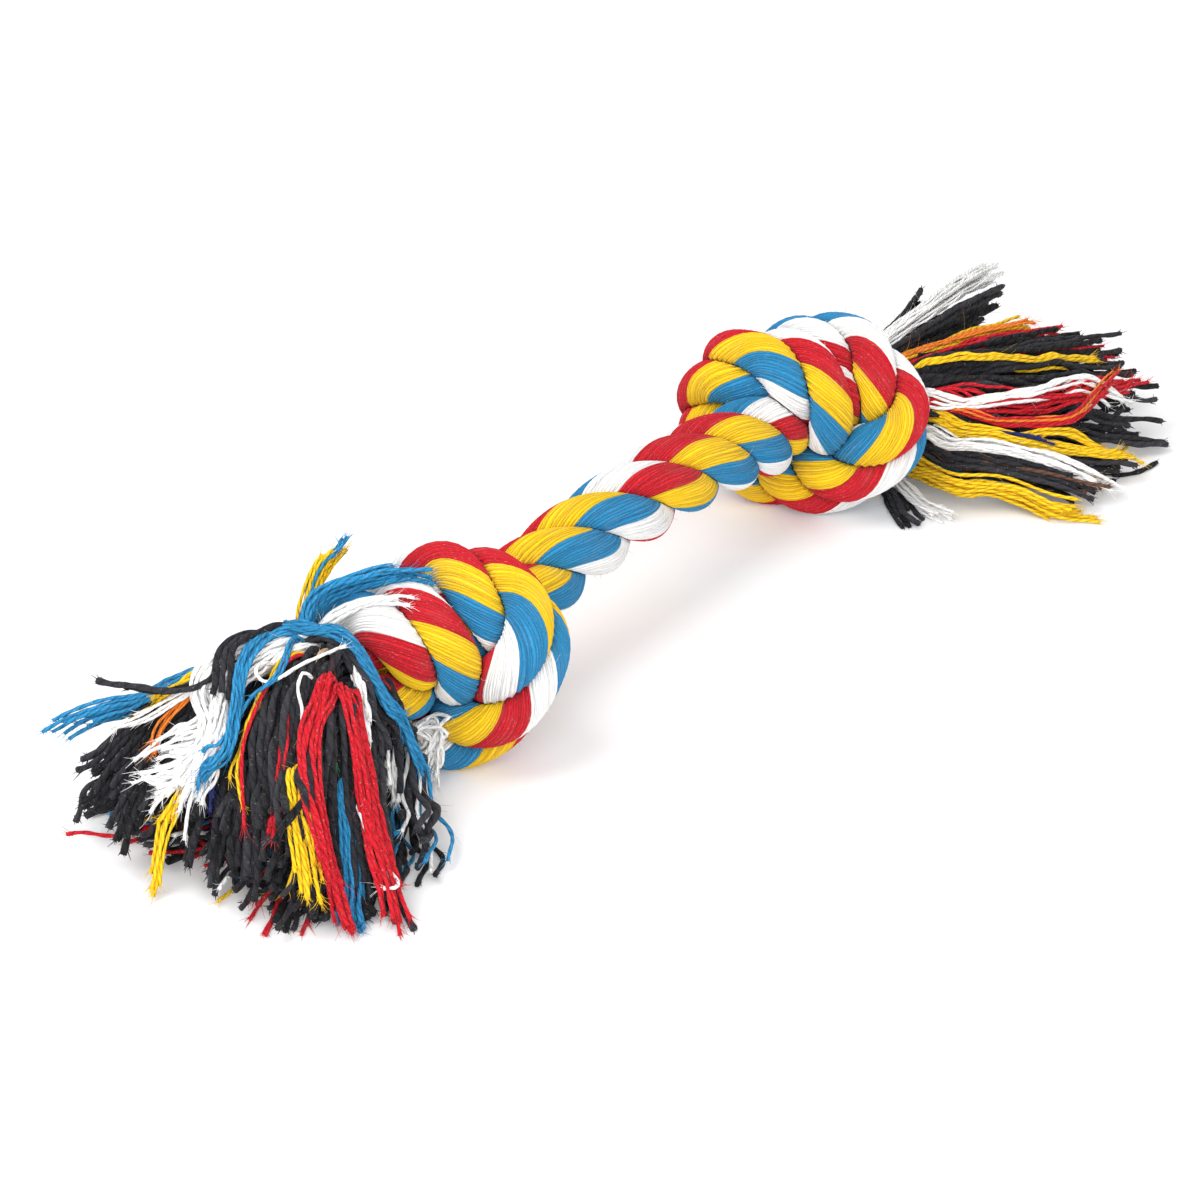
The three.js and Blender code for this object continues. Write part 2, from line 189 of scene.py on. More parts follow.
def make_camera():
    """The camera at the photo's viewing angle."""
    turn, rise = math.radians(CAMERA_TURN_DEG), math.radians(CAMERA_RISE_DEG)
    away = np.array([math.cos(rise) * math.cos(turn), math.cos(rise) * math.sin(turn), math.sin(rise)])
    data = bpy.data.cameras.new("camera")
    camera = add_object("camera", data)
    camera.location = CAMERA_STAND + away * CAMERA_DISTANCE
    aim = Vector(LOOK_AT) - camera.location
    camera.rotation_euler = aim.to_track_quat("-Z", "Y").to_euler()
    data.angle = math.radians(CAMERA_VIEW_DEG)
    bpy.context.scene.camera = camera


make_camera()


# Meshes
def mesh_object(name, points, quads, lay, material, slot, contact_shade=None):
    """A smooth mesh of quads. lay holds each corner's yarn number and its place along the yarn, in mm."""
    mesh = bpy.data.meshes.new(name)
    mesh.vertices.add(len(points))
    mesh.vertices.foreach_set("co", points.astype(np.float32).ravel())
    mesh.loops.add(quads.size)
    mesh.loops.foreach_set("vertex_index", quads.astype(np.int32).ravel())
    mesh.polygons.add(len(quads))
    mesh.polygons.foreach_set("loop_start", np.arange(0, quads.size, 4, dtype=np.int32))
    mesh.update(calc_edges=True)
    mesh.polygons.foreach_set("use_smooth", np.ones(len(quads), bool))
    mesh.uv_layers.new(name="lay").data.foreach_set("uv", lay.astype(np.float32).ravel())
    # Each corner's share of painted shade, where strands touch
    if contact_shade is not None:
        values = mesh.attributes.new("contact_shade", "FLOAT", "POINT").data
        values.foreach_set("value", contact_shade.astype(np.float32))
    mesh.materials.append(material)
    piece = add_object(name, mesh)
    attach(piece, "root")
    return piece


def skin(rings, around, lay_u, lay_v):
    """Corners, quads and lay of a closed tube. rings is (rings, around, 3)."""
    count = len(rings)
    k = np.arange(around)
    r = np.arange(count - 1)[:, None]
    a = r * around + k
    b = r * around + (k + 1) % around
    quads = np.stack([a, b, b + around, a + around], axis=-1).reshape(-1, 4)
    u = np.stack([lay_u[k], lay_u[k + 1], lay_u[k + 1], lay_u[k]], axis=-1)
    u = np.broadcast_to(u, (count - 1, around, 4))
    v = np.stack([lay_v[:-1], lay_v[:-1], lay_v[1:], lay_v[1:]], axis=-1)
    v = np.broadcast_to(v[:, None, :], (count - 1, around, 4))
    return rings.reshape(-1, 3), quads, np.stack([u, v], axis=-1).reshape(-1, 2)


def joined(tubes):
    """Several skins as one."""
    start = np.cumsum([0] + [len(points) for points, _, _ in tubes[:-1]])
    points = np.concatenate([points for points, _, _ in tubes])
    quads = np.concatenate([quads + s for (_, quads, _), s in zip(tubes, start)])
    return points, quads, np.concatenate([lay for _, _, lay in tubes])


# A loose fibre's rings and corners, and how its thickness and its height over the floor follow its radius
FIBRE_RINGS = 5
FIBRE_SIDES = 3
FIBRE_ROOT = 1.1
FIBRE_TAPER = 0.8
FIBRE_CLEARANCE = 1.2


def fibres(starts, ways, lengths, radius, numbers, along, curl):
    """Fine loose fibres, each bent a little and thinner at its tip."""
    count = len(starts)
    ways = ways / np.linalg.norm(ways, axis=1)[:, None]
    bend = chance.normal(0, curl, (count, 3))
    share = np.linspace(0, 1, FIBRE_RINGS)[:, None]
    spine = starts[:, None] + lengths[:, None, None] * (ways[:, None] * share + bend[:, None] * share**2)
    spine[..., 2] = np.maximum(spine[..., 2], FIBRE_CLEARANCE * radius)
    n = np.cross(ways, bend)
    n /= np.linalg.norm(n, axis=1)[:, None]
    b = np.cross(ways, n)
    circle = ways_out(n, b, np.arange(FIBRE_SIDES) / FIBRE_SIDES * 2 * math.pi)
    thin = radius * (FIBRE_ROOT - FIBRE_TAPER * share)
    rings = spine[:, :, None] + circle[:, None] * thin[:, None]
    corner = np.arange(count * FIBRE_RINGS * FIBRE_SIDES).reshape(count, FIBRE_RINGS, FIBRE_SIDES)
    first = corner[:, :-1]
    second = np.roll(first, -1, axis=2)
    quads = np.stack([first, second, second + FIBRE_SIDES, first + FIBRE_SIDES], axis=-1)
    u = np.broadcast_to(numbers[:, None, None, None] + 0.5, quads.shape)
    v = np.broadcast_to(along[:, None, None, None], quads.shape)
    return rings.reshape(-1, 3), quads.reshape(-1, 4), np.stack([u, v], axis=-1).reshape(-1, 2)


# Materials
def bare_material(name):
    """A material without nodes, and its tree."""
    material = bpy.data.materials.new(name)
    material.use_nodes = True
    material.node_tree.nodes.clear()
    return material, material.node_tree


def node(tree, kind, inputs=None, **settings):
    """A node with its settings made, and each input linked or set."""
    made = tree.nodes.new(kind)
    for key, value in settings.items():
        setattr(made, key, value)
    for key, value in (inputs or {}).items():
        if isinstance(value, bpy.types.NodeSocket):
            tree.links.new(value, made.inputs[key])
        else:
            made.inputs[key].default_value = value
    return made


def maths(tree, operation, a, b=0.0, c=0.0):
    """The output of a Math node."""
    return node(tree, "ShaderNodeMath", {0: a, 1: b, 2: c}, operation=operation).outputs[0]


def lay_noise(tree, number, place, across, along, scale, detail):
    """Noise over the lay of a yarn, from its number and the place along it."""
    x = maths(tree, "MULTIPLY", number, across)
    y = maths(tree, "MULTIPLY", place, along)
    at = node(tree, "ShaderNodeCombineXYZ", {"X": x, "Y": y}).outputs[0]
    return node(tree, "ShaderNodeTexNoise", {"Vector": at, "Scale": scale, "Detail": detail}).outputs[0]


def around_one(tree, value, depth, base):
    """base plus depth times how far value lies from its middle, a half."""
    return maths(tree, "MULTIPLY_ADD", maths(tree, "SUBTRACT", value, 0.5), depth, base)


def stretched(tree, value, low, high):
    """The value stretched from low and high to 0 and 1, and clamped."""
    return node(tree, "ShaderNodeMapRange", {"Value": value, "From Min": low, "From Max": high}).outputs[0]


# The colour sockets of a Mix node
MIX_FIRST = 6
MIX_SECOND = 7
MIX_RESULT = 2


def mixed(tree, share, first, second):
    """The first colour, with a share of the second over it."""
    inputs = {"Factor": share, MIX_FIRST: first, MIX_SECOND: second}
    return node(tree, "ShaderNodeMix", inputs, data_type="RGBA").outputs[MIX_RESULT]


# How far each thing about a yarn lightens or darkens it, and how much its creases vary; the darkening in
# creases, in grooves and where strands touch is painted shade
FIBRE_SHADE = 0.42
PATCH_SHADE = 0.16
PAINTED_CREASE_SHADE = -0.38
CREASE_PATCHES = 2.4
CREASE_BASE = 0.8
PAINTED_CONTACT_SHADE = -0.5
PAINTED_GROOVE_SHADE = -0.4
PALE_GLOW = 0.6

# How far grooves and creases lie below the fibres, whose height is one
GROOVE_HEIGHT = -0.8
CREASE_HEIGHT = -0.9

# Noise over a yarn: how often across and along it, scale and detail
FIBRE_NOISE = (7.0, 0.55, 1.0, 3.0)
PATCH_NOISE = (1.0, 0.5, 0.3, 2.0)
GRIME_NOISE = (0.12, 0.07, 1.6, 4.0)
LINT_NOISE = (1.7, 0.8, 2.2, 2.0)

GRIME_COLOUR = (0.42, 0.38, 0.33, 1)
GRIME_RANGE = (0.5, 0.8)
LINT_COLOUR = (0.90, 0.86, 0.80, 1)
LINT_RANGE = (0.62, 0.74)


def yarn_effect():
    """A cotton yarn's own shade, ply grooves, long fibres, lint and painted shade in creases, grooves and
    contacts, from its number and place along it.
    """
    tree = bpy.data.node_groups.new("cotton_yarn", "ShaderNodeTree")
    face = tree.interface
    for name in ("Yarn", "Along", "Shade", "Lint", "Plies", "Twist", "Crease", "Soil", "Contact Shade"):
        face.new_socket(name, in_out="INPUT", socket_type="NodeSocketFloat")
    face.new_socket("Colour", in_out="INPUT", socket_type="NodeSocketColor")
    face.new_socket("Colour", in_out="OUTPUT", socket_type="NodeSocketColor")
    face.new_socket("Height", in_out="OUTPUT", socket_type="NodeSocketFloat")
    given = tree.nodes.new("NodeGroupInput").outputs
    yarn, along = given["Yarn"], given["Along"]
    number = maths(tree, "FLOOR", yarn)
    across = maths(tree, "FRACT", yarn)
    own = node(tree, "ShaderNodeTexWhiteNoise", {"W": number}, noise_dimensions="1D").outputs["Value"]
    # Long fibres lie almost along the yarn, and lean over as it is twisted
    lean = maths(tree, "MULTIPLY_ADD", along, given["Twist"], yarn)
    fibre = lay_noise(tree, lean, along, *FIBRE_NOISE)
    patch = lay_noise(tree, yarn, along, *PATCH_NOISE)
    # Each ply goes round the yarn and leaves a groove
    twisted = maths(tree, "MULTIPLY", along, given["Twist"])
    turns = maths(tree, "MULTIPLY_ADD", across, given["Plies"], twisted)
    ply = maths(tree, "COSINE", maths(tree, "MULTIPLY", turns, 2 * math.pi))
    groove = maths(tree, "POWER", maths(tree, "MULTIPLY_ADD", ply, -0.5, 0.5), 4.0)
    # Where a yarn of the cover meets the next it is lower, and painted shade darkens it there
    side = maths(tree, "ABSOLUTE", maths(tree, "MULTIPLY_ADD", across, 2.0, -1.0))
    crease = maths(tree, "MULTIPLY", maths(tree, "POWER", side, 4.0), given["Crease"])
    crease = maths(tree, "MULTIPLY", crease, around_one(tree, patch, CREASE_PATCHES, CREASE_BASE))
    shade = around_one(tree, own, given["Shade"], 1.0)
    shade = around_one(tree, fibre, FIBRE_SHADE, shade)
    shade = around_one(tree, patch, PATCH_SHADE, shade)
    shade = maths(tree, "MULTIPLY_ADD", crease, PAINTED_CREASE_SHADE, shade)
    # Painted shade darkens a cover where it lies against another strand
    contact_darkening = maths(tree, "MULTIPLY_ADD", given["Contact Shade"], PAINTED_CONTACT_SHADE, 1.0)
    shade = maths(tree, "MULTIPLY", shade, contact_darkening)
    # Painted shade darkens the ply grooves, which also sink in the bump; a cover, with a Crease of one, has
    # none
    grooved = maths(tree, "MULTIPLY", groove, maths(tree, "SUBTRACT", 1.0, given["Crease"]))
    shade = maths(tree, "MULTIPLY_ADD", grooved, PAINTED_GROOVE_SHADE, shade)
    # Light passes between pale fibres, so their creases stay light
    parts = node(tree, "ShaderNodeSeparateColor", {0: given["Colour"]}).outputs
    pale_share = maths(tree, "MINIMUM", maths(tree, "MINIMUM", parts[0], parts[1]), parts[2])
    pale_share = maths(tree, "MULTIPLY", pale_share, PALE_GLOW)
    shade = maths(tree, "MULTIPLY_ADD", maths(tree, "SUBTRACT", 1.0, shade), pale_share, shade)
    scaled = {0: given["Colour"], "Scale": shade}
    toned = node(tree, "ShaderNodeVectorMath", scaled, operation="SCALE").outputs[0]
    # Handling leaves faint grey patches
    grime = stretched(tree, lay_noise(tree, yarn, along, *GRIME_NOISE), *GRIME_RANGE)
    soiled = mixed(tree, maths(tree, "MULTIPLY", grime, given["Soil"]), toned, GRIME_COLOUR)
    # Pale lint clings in short flecks
    fleck = stretched(tree, lay_noise(tree, yarn, along, *LINT_NOISE), *LINT_RANGE)
    pale = mixed(tree, maths(tree, "MULTIPLY", fleck, given["Lint"]), soiled, LINT_COLOUR)
    height = maths(tree, "MULTIPLY_ADD", grooved, GROOVE_HEIGHT, fibre)
    dip = maths(tree, "MULTIPLY", maths(tree, "POWER", side, 2.0), given["Crease"])
    height = maths(tree, "MULTIPLY_ADD", dip, CREASE_HEIGHT, height)
    node(tree, "NodeGroupOutput", {"Colour": pale, "Height": height})
    return tree


cotton_yarn = yarn_effect()

# What every cotton shares
COTTON_ROUGHNESS = 0.88
COTTON_SPECULAR = 0.14
SHEEN_ROUGHNESS = 0.5
YARN_PLIES = 2.0


def cotton(name, colour, shade=0.25, lint=0.2, twist=0.35, crease=0.0, soil=0.0, bump=0.2, sheen=0.06):
    """A cotton material. colour is one colour, or a list of band colours for a strand's cover."""
    material, tree = bare_material(name)
    lay = node(tree, "ShaderNodeUVMap", uv_map="lay").outputs[0]
    at = node(tree, "ShaderNodeSeparateXYZ", {0: lay}).outputs
    inputs = {"Yarn": at["X"], "Along": at["Y"], "Plies": YARN_PLIES, "Shade": shade, "Lint": lint}
    inputs |= {"Twist": twist, "Crease": crease, "Soil": soil}
    if isinstance(colour, list):
        band = maths(tree, "FRACT", maths(tree, "DIVIDE", at["X"], COVER_YARNS))
        ramp = node(tree, "ShaderNodeValToRGB", {0: band})
        ramp.color_ramp.interpolation = "CONSTANT"
        while len(ramp.color_ramp.elements) < BANDS:
            ramp.color_ramp.elements.new(0.5)
        for k, element in enumerate(ramp.color_ramp.elements):
            element.position = k / BANDS
            element.color = (*colour[k], 1)
        inputs["Colour"] = ramp.outputs[0]
        inputs["Contact Shade"] = node(tree, "ShaderNodeAttribute", attribute_name="contact_shade").outputs["Fac"]
    else:
        inputs["Colour"] = (*colour, 1)
    effect = node(tree, "ShaderNodeGroup", inputs, node_tree=cotton_yarn)
    relief = {"Strength": 1.0, "Distance": bump * MM, "Height": effect.outputs["Height"]}
    bumps = node(tree, "ShaderNodeBump", relief)
    looks = {
        "Base Color": effect.outputs["Colour"],
        "Normal": bumps.outputs[0],
        "Roughness": COTTON_ROUGHNESS,
        "Specular IOR Level": COTTON_SPECULAR,
        "Sheen Weight": sheen,
        "Sheen Roughness": SHEEN_ROUGHNESS,
    }
    surface = node(tree, "ShaderNodeBsdfPrincipled", looks)
    node(tree, "ShaderNodeOutputMaterial", {0: surface.outputs[0]})
    return material


cover_cotton = cotton(
    "cover_cotton",
    [RED, YELLOW, BLUE, WHITE],
    shade=0.24,
    lint=0.22,
    twist=0.02,
    crease=1.0,
    soil=0.10,
    bump=0.25,
)
YARN_COTTON = {
    "red": cotton("red_yarn", RED),
    "yellow": cotton("yellow_yarn", YELLOW, shade=0.15),
    "blue": cotton("blue_yarn", BLUE),
    "white": cotton("white_yarn", WHITE, shade=0.10, lint=0.0),
    "charcoal": cotton("charcoal_yarn", CHARCOAL, shade=1.1, lint=0.10, twist=0.28, bump=0.35, sheen=0.05),
    "orange": cotton("orange_yarn", ORANGE),
    "beige": cotton("beige_yarn", BEIGE),
    "brown": cotton("brown_yarn", BROWN, lint=0.1),
    "navy": cotton("navy_yarn", NAVY, lint=0.1),
    "green": cotton("green_yarn", GREEN),
}
YARN_SLOT = {"red": "yarn_red", "yellow": "yarn_yellow", "blue": "yarn_blue", "white": "yarn_white"}


# The three strands
def strand_line(name):
    """A strand's centre line and its radius along it, from the rings of its solid."""
    rings = node_rings(name)
    centres = np.array([ring_centre(ring) for ring in rings])
    radii = np.array([np.linalg.norm(ring - c, axis=1).max() for ring, c in zip(rings, centres)])
    line = resample(centres, COVER_STEP)
    at = np.linspace(0, 1, len(line))
    return line, np.interp(at, np.linspace(0, 1, len(radii)), radii)


STRANDS = {name: strand_line(name) for name in ("strand_1", "strand_2", "strand_3")}


# Where strands press on each other: how far apart along itself a strand is its own neighbour, in radii, how
# softly the flats round off, and the least that is left of a strand
OWN_APART = 3
EDGE_ROUNDING = 0.25
EDGE_SHARPNESS = 8
MOST_POWER = 60
LEAST_REACH = 0.5 * MM


def free_radius(line, radii, others, outs):
    """How far each direction reaches before it meets a neighbour halfway, rounded where it does."""
    run = along_line(line)
    reach = np.broadcast_to(radii[:, None], outs.shape[:2]).copy()
    for other in others:
        own = other is line
        for i, p in enumerate(line):
            d = other - p
            near = np.linalg.norm(d, axis=1) < 2 * radii[i]
            if own:
                near &= np.abs(run - run[i]) > OWN_APART * radii[i]
            if not near.any():
                continue
            d = d[near]
            towards = outs[i] @ d.T
            meet = (d * d).sum(axis=1) / np.maximum(2 * towards, 1e-9) - CONTACT_GAP
            reach[i] = np.minimum(reach[i], meet.min(axis=1))
    rounding = EDGE_ROUNDING * radii[:, None]
    short = (radii[:, None] - reach) / rounding
    power = np.minimum(EDGE_SHARPNESS * short, MOST_POWER)
    eased = radii[:, None] - rounding * np.log1p(np.exp(power)) / EDGE_SHARPNESS
    return np.maximum(np.minimum(eased, reach), LEAST_REACH)


# Fuzz of a cover, with its lengths in mm
FUZZ_COUNT = 1100
FUZZ_LENGTHS = (0.6, 1.7)
FUZZ_LIFT = (0.1, 1.0)
FUZZ_CURL = 0.35


def cover_fuzz(rings, outs, t, run):
    """Short loose fibres that stand off a cover, each in its own yarn's colour."""
    i = chance.integers(0, len(run), FUZZ_COUNT)
    j = chance.integers(0, COVER_CORNERS, FUZZ_COUNT)
    ways = outs[i, j] * chance.uniform(*FUZZ_LIFT, (FUZZ_COUNT, 1))
    ways = ways + t[i] * chance.normal(0, 1.0, (FUZZ_COUNT, 1))
    lengths = chance.uniform(*FUZZ_LENGTHS, FUZZ_COUNT) * MM
    return fibres(rings[i, j], ways, lengths, FUZZ_R, np.floor(j / YARN_CORNERS), run[i] / MM, FUZZ_CURL)


def band_turns(line, run):
    """The turn of the bands at each point: faster in the knots than in the laid neck."""
    in_neck = np.clip((NECK_HALF - np.abs(line[:, 0])) / STRAND_D + 0.5, 0, 1)
    rate = KNOT_TWIST_TURNS + (NECK_TWIST_TURNS - KNOT_TWIST_TURNS) * in_neck
    steps = np.diff(run) / STRAND_D * rate[1:]
    return np.r_[0, np.cumsum(steps)]


# The yarns of a cover: how much their widths differ, and how often, in mm, and how far their edges wander
COVER_WIDTHS = (0.6, 1.4)
WANDER_PITCH = (9, 22)
EDGE_WANDER = 0.22


def cover_parts(run):
    """Where the cover's corners lie round the strand: yarns of uneven width whose edges wander a little."""
    widths = chance.uniform(*COVER_WIDTHS, (BANDS, BAND_YARNS))
    widths /= BANDS * widths.sum(axis=1)[:, None]
    edges = np.r_[0, np.cumsum(widths)]
    pitch = chance.uniform(*WANDER_PITCH, COVER_YARNS) * MM
    phase = chance.uniform(0, 2 * math.pi, COVER_YARNS)
    wander = EDGE_WANDER / COVER_YARNS * np.sin(2 * math.pi * run[:, None] / pitch + phase)
    wander = np.hstack([wander, wander[:, :1]])
    corners = np.arange(COVER_CORNERS) / YARN_CORNERS
    low = corners.astype(int)
    share = corners - low
    edges = edges[None, :] + wander
    return edges[:, low] * (1 - share) + edges[:, low + 1] * share


# A cover: how high each corner of a yarn stands, where painted shade darkens it against another strand, and
# how its ends close, laid in mm
YARN_PROFILE = np.array([0.0, 0.8, 1.0, 0.8])
CONTACT_SHADE_FROM = 0.05
CONTACT_SHADE_RANGE = 0.12
CAP_SHARES = (0.02, 0.6)
CAP_LAY = np.array([8, 4])


def make_strand(name):
    """A strand's cover with its fuzz, in the place of the strand's solid."""
    line, radii = STRANDS[name]
    t, n, b = frames(line)
    run = along_line(line)
    turns = band_turns(line, run)
    angle = 2 * math.pi * (cover_parts(run) - turns[:, None])
    outs = ways_out(n, b, angle)
    reach = free_radius(line, radii, [STRANDS[k][0] for k in STRANDS], outs)
    round_yarn = YARN_PROFILE[np.arange(COVER_CORNERS) % YARN_CORNERS]
    reach = reach - RIDGE_HEIGHT * (1 - round_yarn[None, :])
    rings = line[:, None] + outs * reach[..., None]
    rings[..., 2] = np.maximum(rings[..., 2], 0)
    # Painted shade grows where a neighbouring strand cuts the cover back
    short = radii[:, None] - reach - CONTACT_SHADE_FROM * radii[:, None]
    contact_shade = np.clip(short / (CONTACT_SHADE_RANGE * radii[:, None]), 0, 1)
    contact_shade = np.pad(contact_shade, ((len(CAP_SHARES), len(CAP_SHARES)), (0, 0)))
    first_cap = [line[0] + (rings[0] - line[0]) * share for share in CAP_SHARES]
    last_cap = [line[-1] + (rings[-1] - line[-1]) * share for share in reversed(CAP_SHARES)]
    lay_v = np.r_[-CAP_LAY, run / MM, run[-1] / MM + CAP_LAY[::-1]]
    lay_u = np.arange(COVER_CORNERS + 1) / YARN_CORNERS
    closed = np.concatenate([first_cap, rings, last_cap])
    cover = skin(closed, COVER_CORNERS, lay_u, lay_v)
    fuzz = cover_fuzz(rings, outs, t, run)
    contact_shade = np.r_[contact_shade.ravel(), np.zeros(len(fuzz[0]))]
    piece = mesh_object(name + "_cover", *joined([cover, fuzz]), cover_cotton, "rope_cotton", contact_shade)
    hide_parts(name)
    return piece, line, run[-1]


covers = {name: make_strand(name) for name in STRANDS}


# Tassels
GROUPS = ("core", "red", "yellow", "blue", "white")
FILL_COUNTS = {
    "near": {"core": 66, "red": 10, "yellow": 7, "blue": 6, "white": 7},
    "far": {"core": 50, "red": 11, "yellow": 7, "blue": 2, "white": 5},
}
# The body's yarns: how far they arch over each other and how high their tips lie, in mm, how much of their
# spread towards -Y is kept, and their length against the solids' groups
CORE_ARCH = {"near": (-6, 5), "far": (-6, 2)}
COLOUR_ARCH = {"near": (-7, 3), "far": (-6, 1)}
TIP_RISE = {"near": 12, "far": 5}
FRONT_SHARE = {"near": 0.66, "far": 1.0}
YARN_REACH = {"near": (0.76, 0.99), "far": (0.80, 1.04)}
# The near tassel is cut shorter on its side towards +X and -Y
SHORT_WAY = np.array([0.6, -0.8, 0])
SHORT_FROM = -62 * MM
SHORT_SHARE = 0.78

# The kinds of yarn whose radius isn't COLOUR_R
OTHER_RADII = dict.fromkeys(("orange", "beige", "green", "navy", "thin white"), THREAD_R)
OTHER_RADII["charcoal"] = CHARCOAL_R

# Locks of yarn laid over the tassels, one layer over the other: kind, number of yarns, the strand
# they come from, and points in mm. A lock comes out of the tassel at its first point.
NEAR_UNDER = [
    ("charcoal", 20, 1, [(-112, 8, 33), (-122, 4, 32), (-134, -2, 25), (-145, -10, 14), (-152, -18, 5)]),
    ("charcoal", 20, 1, [(-110, 6, 31), (-119, -1, 27), (-128, -9, 19), (-137, -20, 9), (-143, -29, 3)]),
    ("charcoal", 20, 3, [(-114, 12, 36), (-126, 10, 37), (-138, 6, 30), (-150, 0, 18), (-158, -6, 7)]),
    ("charcoal", 16, 3, [(-114, 16, 38), (-132, 16, 38), (-148, 12, 27), (-160, 9, 9)]),
    ("charcoal", 18, 2, [(-114, 18, 36), (-132, 22, 38), (-150, 27, 26), (-162, 29, 9)]),
    ("charcoal", 18, 2, [(-114, 20, 36), (-130, 26, 37), (-146, 37, 23), (-157, 44, 8)]),
    ("charcoal", 14, 2, [
        (-115, 20, 38), (-130, 22, 41), (-137, 26, 40), (-143, 37, 30), (-149, 44, 20), (-151, 52, 14),
    ]),
    ("blue", 16, 1, [(-126, -5, 15), (-137, -15, 9), (-146, -22, 5), (-151, -27, 2)]),
    ("charcoal", 16, 2, [(-112, 27, 28), (-126, 35, 24), (-139, 44, 14), (-146, 50, 4)]),
    ("charcoal", 16, 2, [(-110, 29, 24), (-122, 41, 16), (-133, 51, 4)]),
    ("charcoal", 12, 2, [(-107, 29, 18), (-115, 41, 10), (-122, 51, 3)]),
    ("red", 4, 2, [(-109, 29, 26), (-119, 42, 19), (-128, 53, 6)]),
    ("white", 4, 2, [(-108, 30, 22), (-114, 43, 14), (-119, 53, 3)]),
    ("yellow", 8, 2, [(-148, 18, 26), (-159, 19, 10), (-166, 18, 3)]),
    ("red", 5, 3, [(-124, 8, 37), (-134, 4, 32), (-146, -3, 20), (-157, -10, 5)]),
    ("blue", 5, 1, [(-98, 5, 16), (-106, 1, 9), (-112, -4, 3)]),
    ("charcoal", 8, 1, [(-99, 7, 22), (-105, 0, 14), (-113, -8, 4)]),
    ("white", 8, 1, [(-104, 4, 20), (-108, -3, 13), (-114, -7, 7), (-120, -12, 3)]),
]
NEAR_MIDDLE = [
    ("charcoal", 5, 3, [
        (-116, 18, 44), (-114, 11, 40), (-113, 4, 35), (-114, -2, 29), (-115, -7, 24), (-115, -10, 14),
        (-122, -16, 4),
    ]),
    ("white", 34, 3, [
        (-106, 12, 38), (-114, 13, 43), (-121, 15, 46), (-130, 20, 46), (-138, 23, 43), (-140, 19, 36),
        (-143, 18, 30), (-148, 20, 22), (-153, 24, 14), (-155, 28, 8),
    ]),
    ("white", 18, 3, [
        (-106, 12, 38), (-116, 13, 44), (-127, 15, 47), (-137, 18, 44), (-144, 16, 34), (-148, 15, 26),
        (-154, 14, 18), (-158, 14, 11),
    ]),
    ("yellow", 16, 1, [(-139, -5, 17), (-148, -11, 10), (-155, -20, 3)]),
    ("white", 5, 1, [(-110, 8, 33), (-114, 3, 29), (-117, -1, 24), (-122, -7, 17)]),
    ("yellow", 2, 3, [
        (-119, 9, 38), (-127, 11, 38), (-136, 11, 33), (-144, 9, 24), (-149, 7, 17), (-154, 1, 12),
    ]),
    ("red", 1, 3, [(-119, 8, 38), (-127, 10, 38), (-136, 10, 33), (-145, 8, 24), (-155, 0, 12)]),
    ("white", 1, 1, [(-126, 2, 36), (-131, 3, 31), (-136, -1, 25), (-139, -3, 18), (-141, -3, 14)]),
    ("yellow", 1, 1, [(-133, -2, 26), (-140, -5, 18), (-148, -9, 8)]),
    ("charcoal", 2, 2, [(-130, 21, 42), (-144, 26, 42), (-146, 36, 40), (-147, 48, 38)]),
    ("yellow", 5, 2, [(-129, 22, 40), (-138, 26, 38), (-143, 32, 33), (-146, 38, 29)]),
    ("blue", 14, 2, [
        (-128, 23, 40), (-137, 27, 38), (-140, 36, 34), (-142, 47, 30), (-147, 55, 26), (-153, 60, 22),
    ]),
    ("orange", 4, 2, [(-130, 21, 41), (-141, 26, 39), (-148, 29, 34), (-157, 24, 26)]),
    ("thin white", 5, 2, [(-130, 21, 43), (-142, 27, 41), (-148, 35, 35), (-151, 44, 30)]),
    ("beige", 2, 1, [(-115, 6, 33), (-128, 3, 27), (-142, -6, 16), (-150, -12, 8)]),
    ("green", 1, 1, [(-128, -4, 20), (-138, -13, 10)]),
    ("navy", 4, 2, [(-118, 18, 38), (-132, 18, 38), (-147, 14, 27), (-156, 8, 14)]),
    ("white", 14, 1, [(-88, 11, 16), (-85, 7, 14), (-85, 4, 11), (-88, 1, 6), (-91, 4, 3)]),
]
NEAR_OVER = [
    ("red", 12, 1, [
        (-121, 0, 32), (-130, -3, 27), (-138, -6, 21), (-145, -12, 14), (-149, -20, 8), (-153, -28, 3),
    ]),
    ("red", 12, 1, [(-119, 0, 30), (-124, -6, 23), (-128, -12, 16), (-136, -23, 9), (-143, -34, 3)]),
    ("blue", 8, 3, [
        (-118, 14, 46), (-123, 18, 48), (-133, 17, 47), (-141, 13, 41), (-147, 11, 31), (-152, 13, 18),
        (-156, 13, 9),
    ]),
    ("charcoal", 3, 3, [(-117, 16, 46), (-126, 20, 48), (-134, 21, 47), (-140, 17, 42), (-145, 14, 34)]),
    ("blue", 2, 3, [(-118, 13, 46), (-132, 8, 44), (-139, 10, 40), (-143, 10, 36)]),
    ("blue", 20, 3, [
        (-116, 18, 46), (-115, 12, 42), (-113, 5, 37), (-112, -1, 30), (-111, -7, 23), (-109, -11, 15),
        (-110, -13, 11),
    ]),
    ("white", 1, 3, [(-130, 13, 46), (-134, 10, 44), (-128, 5, 39), (-121, 3, 34), (-112, 2, 29)]),
    ("white", 2, 1, [(-131, -13, 17), (-136, -24, 10), (-137, -29, 7), (-141, -26, 3)]),
    ("blue", 16, 3, [
        (-112, 16, 40), (-111, 18, 45), (-106, 20, 48), (-99, 18, 50), (-91, 10, 52), (-85, 4, 51),
    ]),
    ("white", 7, 3, [(-110, 15, 40), (-108, 15, 45), (-103, 14, 47), (-96, 8, 49), (-91, 4, 47)]),
    ("yellow", 12, 3, [(-104, 24, 38), (-99, 28, 43), (-93, 30, 47), (-88, 29, 50), (-86, 28, 53)]),
    ("blue", 4, 3, [(-103, 24, 38), (-98, 28, 43), (-92, 30, 48), (-87, 28, 51), (-84, 27, 55)]),
]
